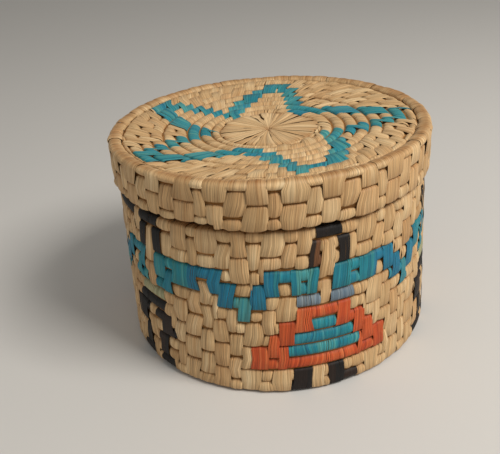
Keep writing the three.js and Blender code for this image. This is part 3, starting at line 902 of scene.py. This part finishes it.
PETALS = 38
PETAL_START = 0.0011
PETAL_END = ROSETTE_RADIUS + 0.0008
PETAL_UNEVEN = 0.0014  # how far their ends lie in or out of that
PETAL_ASIDE = 0.08  # how unevenly they are spaced, in petals
PETAL_SLANT = 4  # how far off the radius the rosette's strips run, in radians to the metre
PETAL_WAVES = ((2, 1, 1), (5, 0.6, 0))  # how it changes round the rosette: waves, how far, their start
PETAL_SLANT_SCATTER = 0.25  # what of it differs from one to the next
PETAL_ROOM = 0.0009  # the least room they have beside each other, near the middle
PETAL_SHARE = 0.4  # of a brick, for how much their sides fall away
PETAL_BULGE = 0.0007
PETAL_POWER = 2.6
PETAL_CAP = 0.0026
PETAL_POINTS = 12  # along their front
PETAL_TONE = 0.6
PETAL_HUE = 0.35
PETAL_SCATTER = 0.0002  # how unevenly they stand out
SLIT_SHARE = 0.6  # how many of them have slits at their sides
SLIT_STARTS = (0.006, 0.014)  # from the middle
SLIT_LENGTHS = (0.005, 0.008)
SLIT_WIDTHS = (0.2, 0.38)  # as shares of a strip's width
SLIT_SLOPE = 0.002  # over which a slit opens
CORE_START = 0.0003  # the fibre fills the rosettes' middle


def build_rosette(name, thick, to_profile, body, node):
    """Flat leaf laid out from the middle, with short slits between some of the strips."""
    angle = (np.arange(PETALS) + random.normal(0, PETAL_ASIDE, PETALS)) / PETALS * TURN
    every = np.ones(PETALS, bool)
    slants = sum(far * np.sin(waves * angle + start) for waves, far, start in PETAL_WAVES)
    aslant = PETAL_SLANT * slants[:, None]
    aslant = aslant + random.normal(0, PETAL_SLANT_SCATTER * PETAL_SLANT, (PETALS, 1))
    laid = laid_strips(
        -PETAL_END + random.uniform(-PETAL_UNEVEN, PETAL_UNEVEN, PETALS), np.full(PETALS, -PETAL_START),
        angle, lambda radius: np.maximum(TURN / PETALS * radius, PETAL_ROOM), lambda up: (aslant * up, 1),
        np.zeros(PETALS), np.full(PETALS, PETAL_SHARE), ~every, ~every, to_profile,
        random.normal(PETAL_TONE, STRIP_TONE, PETALS), random.uniform(0, PETAL_HUE, PETALS), np.zeros(PETALS),
        crest=thick / 2, power=PETAL_POWER, cap=PETAL_CAP, bulge=PETAL_BULGE, front_points=PETAL_POINTS,
    )
    radius = laid["line"][:, :, 0]
    start = random.uniform(*SLIT_STARTS, (PETALS, 1))
    length = random.uniform(*SLIT_LENGTHS, (PETALS, 1))
    slit = random.uniform(*SLIT_WIDTHS, (PETALS, 1)) * (random.uniform(0, 1, (PETALS, 1)) < SLIT_SHARE)
    reach = smooth((radius - start) / SLIT_SLOPE) * smooth((start + length - radius) / SLIT_SLOPE)
    laid["widths"] = laid["widths"] * (1 - slit * reach)
    laid["outs"] = laid["outs"] + random.normal(0, PETAL_SCATTER, (PETALS, 1, 1))
    strip_piece(f"{name}_strips", laid, every, body, "palm", node)


# The base

def build_base():
    def flat(out, up):
        return -up, STANDING + BASE_THICK / 2 - out

    build_spiral("base", BASE_RADIUS, BASE_THICK, flat, "basket", "base_coil")
    build_rosette("base_rosette", BASE_THICK, flat, "basket", "base_rosette")
    low, high = STANDING + FLAT_INSET, STANDING + BASE_THICK - FLAT_INSET
    profile = block(CORE_START, BASE_RADIUS - INSET, low, high)
    core("base_core", profile, "basket", "base_coil", "base_rosette")


# The lid

LID_COIL_END = math.radians(-107.5)  # where the lid's last turn ends, with a small step in its edge
LID_COIL_FADE = math.radians(100)  # over which the step fades
LID_COIL_STEP = 0.002
CORNER_RISE = LID_TOP - SKIRT_TOP
CORNER_INWARD = 0.001  # how much farther in the corner's coil reaches than the rows below it
CORNER_SHOULDER = 0.3  # how far up the corner its fibre starts to draw in
RIM_POWER = 2.2  # how squarely the lid's rim turns over
RIM_ROUND = 0.0048  # how far down the side its rounding starts, measured as if its row were a full one
STAR_ANGLES = 720  # places round the lid where the star's reach is looked up
STAR_STEP = 0.001  # and from place to place along a radius
DISH_POINTS = 9  # along the fibre under the dished top


def build_lid_side():
    def end_step(angle):
        """How far the lower edge is raised, most just past the coil's end."""
        past = (LID_COIL_END - angle) % TURN
        return SEAT_GAP + np.where(past < LID_COIL_FADE, LID_COIL_STEP * (1 - past / LID_COIL_FADE), 0)

    def side(out, up):
        """The corner's coil is lower than the rows under it, and reaches farther in."""
        over = np.maximum(up - SKIRT_TOP, 0) / SKIRT_ROW
        inward = CORNER_INWARD * np.maximum(-out, 0) / (THICK / 2) * smooth(over * 2)
        return LID_RADIUS - THICK / 2 + out - inward, np.minimum(up, SKIRT_TOP) + CORNER_RISE * over

    def edges(angle, at_edge, high_turn):
        at_rim = high_turn == SKIRT_ROWS
        return {
            "top_power": np.where(at_rim, RIM_POWER, WALL_POWER),
            "top_cap": np.where(at_rim, RIM_ROUND, WALL_CAP),
            "bulge": np.where(at_rim | at_edge, EDGE_BULGE, BULGE),
        }

    rows = Rows(
        SIDE_COLUMNS, SIDE_STRIPS, LID_BOTTOM, SKIRT_ROW, range(SKIRT_ROWS + 1),
        (LID_BOTTOM, SKIRT_TOP + SKIRT_ROW), WALL_LEAN, phase=2,
    )
    laid = rows.lay(
        as_it_is, side, low_shift=end_step, shape_at=edges, crest=THICK / 2,
    )
    strip_piece("lid_side_stitches", laid, rows.natural, "lid", "palm", "lid_side_coil")
    inner, outer = LID_RADIUS - THICK + INSET, LID_RADIUS - INSET
    low = LID_BOTTOM + INSET + LID_COIL_STEP
    core("lid_side_core", [
        (inner, low), (outer, low), (outer, SKIRT_TOP + CORNER_RISE * CORNER_SHOULDER),
        (outer - INSET, LID_TOP - INSET), (inner - CORNER_INWARD, LID_TOP - INSET), (inner, SKIRT_TOP),
    ], "lid", "lid_side_coil")


def build_lid_top():
    angles = np.arange(STAR_ANGLES) / STAR_ANGLES * TURN
    radii = np.arange(ROSETTE_RADIUS, DISC_RADIUS, STAR_STEP)
    farthest = np.array([max((r for r in radii if in_star_line(r, a)), default=0) for a in angles])

    def reach(angle):
        return farthest[int(angle % TURN / TURN * STAR_ANGLES) % STAR_ANGLES]

    def dished(out, up):
        return -up, dish_height(-up) - DISC_THICK / 2 + out

    star = (in_star_line, reach)
    build_spiral("lid_top", DISC_RADIUS, DISC_THICK, dished, "lid", "lid_top_coil", star=star)
    build_rosette("lid_rosette", DISC_THICK, dished, "lid", "lid_rosette")
    radii = np.linspace(CORE_START, DISC_RADIUS, DISH_POINTS)
    under = [(r, dish_height(r) - DISC_THICK + FLAT_INSET) for r in radii]
    over = [(r, dish_height(r) - FLAT_INSET) for r in radii[::-1]]
    core("lid_top_core", under + over, "lid", "lid_top_coil", "lid_rosette")


build_wall()
build_neck()
build_base()
build_lid_side()
build_lid_top()

# The camera, as the photograph was taken

IMAGE_WIDTH = 500  # pixels
FOCAL = 659.6  # pixels
CAMERA_BACK = 0.3388  # from the axis
CAMERA_HEIGHT = 0.2295
PAN, TILT, ROLL = -0.041, math.radians(27.86), math.radians(-4.32)

camera = bpy.data.objects.new("camera", bpy.data.cameras.new("camera"))
bpy.context.scene.collection.objects.link(camera)
camera.data.sensor_width = 36
camera.data.lens = FOCAL / IMAGE_WIDTH * camera.data.sensor_width
camera.data.clip_start = 0.01
ahead = Vector((math.sin(PAN) * math.cos(TILT), math.cos(PAN) * math.cos(TILT), -math.sin(TILT)))
right = Vector((math.cos(PAN), -math.sin(PAN), 0))
above = right.cross(ahead)
right_rolled = math.cos(ROLL) * right + math.sin(ROLL) * above
above_rolled = -math.sin(ROLL) * right + math.cos(ROLL) * above
camera.matrix_world = Matrix.Translation((0, -CAMERA_BACK, CAMERA_HEIGHT)) @ Matrix(
    (right_rolled, above_rolled, -ahead)
).transposed().to_4x4()
bpy.context.scene.camera = camera

# Floor and light

FLOOR_REACH = 4
FLOOR_COLOUR = linear(205, 203, 200)
FLOOR_ROUGHNESS = 0.9
AIR_COLOUR = (1, 0.97, 0.91, 1)
AIR_STRENGTH = 0.33
LIT_SPOT = Vector((0, 0, 0.05))  # where the lamps point

corners = [(x * FLOOR_REACH, y * FLOOR_REACH, 0) for x, y in ((-1, -1), (1, -1), (1, 1), (-1, 1))]
floor_mesh = bpy.data.meshes.new("floor")
floor_mesh.from_pydata(corners, [], [(0, 1, 2, 3)])
floor = bpy.data.objects.new("floor", floor_mesh)
bpy.context.scene.collection.objects.link(floor)
floor_material = bpy.data.materials.new("pale_floor")
floor_material.use_nodes = True
floor_surface = floor_material.node_tree.nodes["Principled BSDF"]
floor_surface.inputs["Base Color"].default_value = FLOOR_COLOUR
floor_surface.inputs["Roughness"].default_value = FLOOR_ROUGHNESS
floor_mesh.materials.append(floor_material)

world = bpy.data.worlds.new("studio")
bpy.context.scene.world = world
world.use_nodes = True
air = world.node_tree.nodes["Background"]
air.inputs["Color"].default_value = AIR_COLOUR
air.inputs["Strength"].default_value = AIR_STRENGTH


def soft_lamp(name, place, size, power, colour):
    lamp = bpy.data.lights.new(name, "AREA")
    lamp.size = size
    lamp.energy = power
    lamp.color = colour
    holder = bpy.data.objects.new(name, lamp)
    holder.location = place
    holder.rotation_euler = (LIT_SPOT - Vector(place)).to_track_quat("-Z", "Y").to_euler()
    bpy.context.scene.collection.objects.link(holder)


soft_lamp("key", place=(0.66, -0.42, 0.95), size=0.45, power=12.4, colour=(1.0, 0.96, 0.9))
soft_lamp("fill", place=(-0.8, -0.6, 0.5), size=0.9, power=0.7, colour=(1.0, 0.98, 0.95))

bpy.context.scene.view_settings.view_transform = "Standard"
